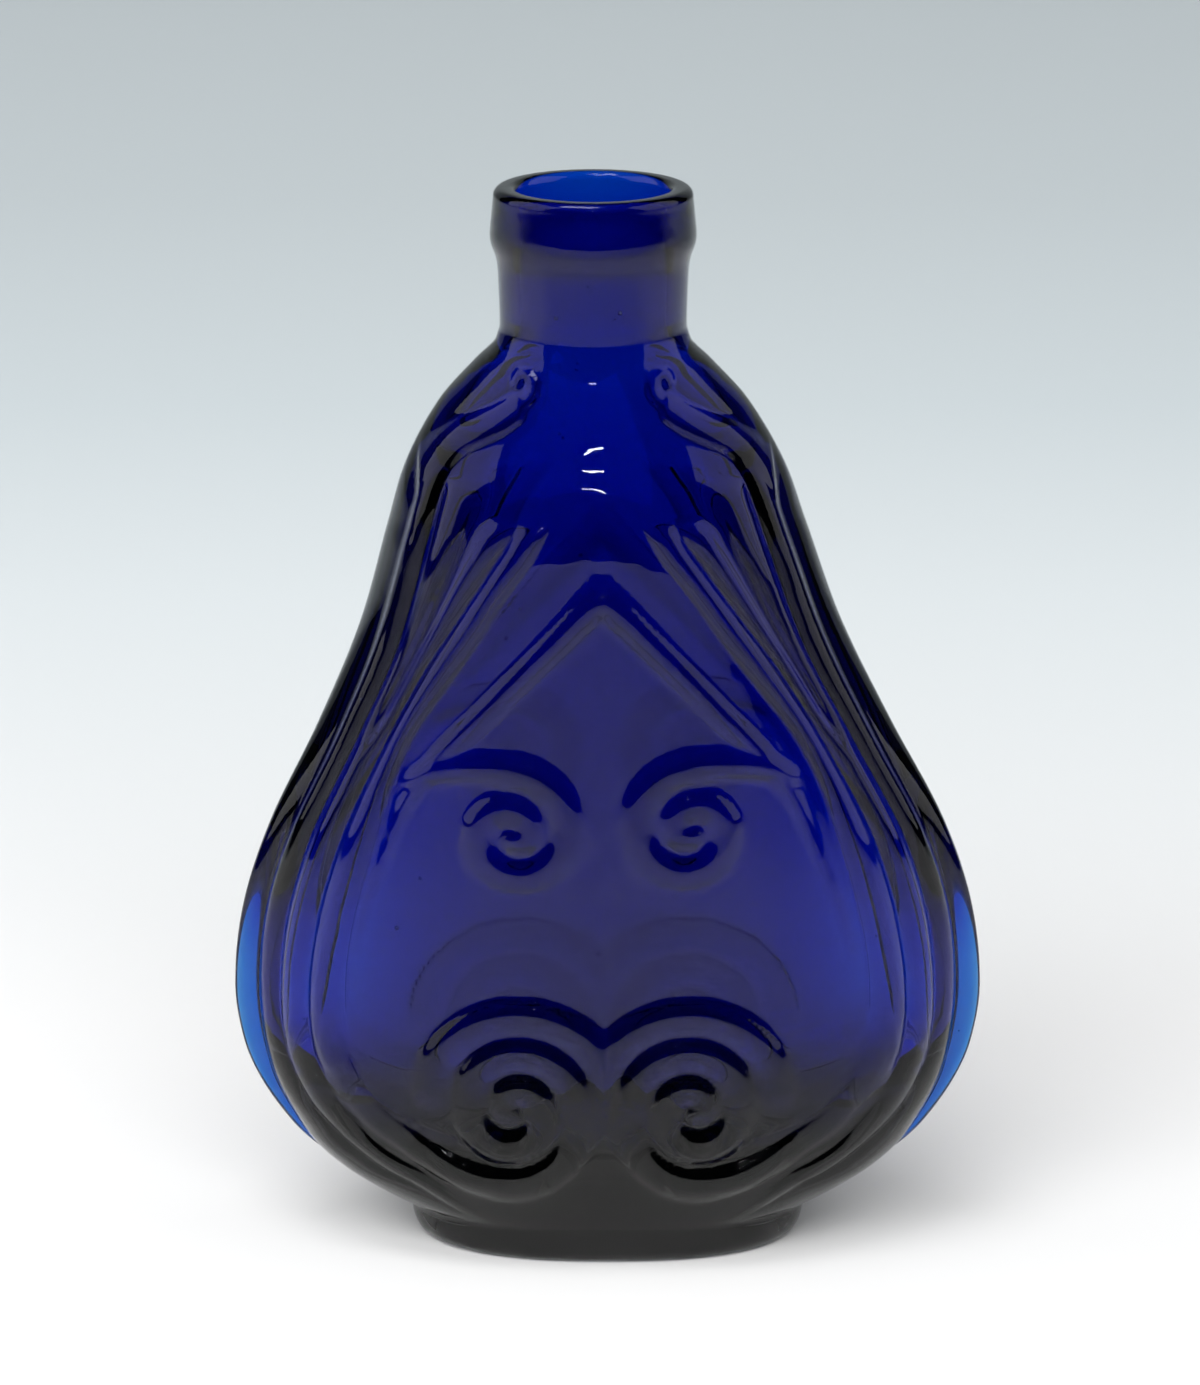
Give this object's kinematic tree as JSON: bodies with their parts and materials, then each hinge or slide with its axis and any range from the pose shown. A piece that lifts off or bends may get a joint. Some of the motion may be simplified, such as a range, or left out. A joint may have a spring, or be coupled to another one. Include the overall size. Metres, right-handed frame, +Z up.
{
  "type": "glass bottle",
  "caption": "Antique-style half-pint scroll flask in cobalt glass with ribbed sides, scroll panels and an applied lip.",
  "frame": {"origin": "middle of the foot, on the surface that the bottle stands on", "axes": "+Z up along the body, -Y out of the front panel, X across the side seams"},
  "size_m": [0.105, 0.0462, 0.15],
  "materials": {
    "cobalt_glass": "fire-polished, faintly uneven mould-blown surface"
  },
  "bodies": {
    "root": {"base": "cobalt_glass", "front_shell": "cobalt_glass", "back_shell": "cobalt_glass", "neck": "cobalt_glass", "lip_ring": "cobalt_glass"}
  },
  "joints": []
}
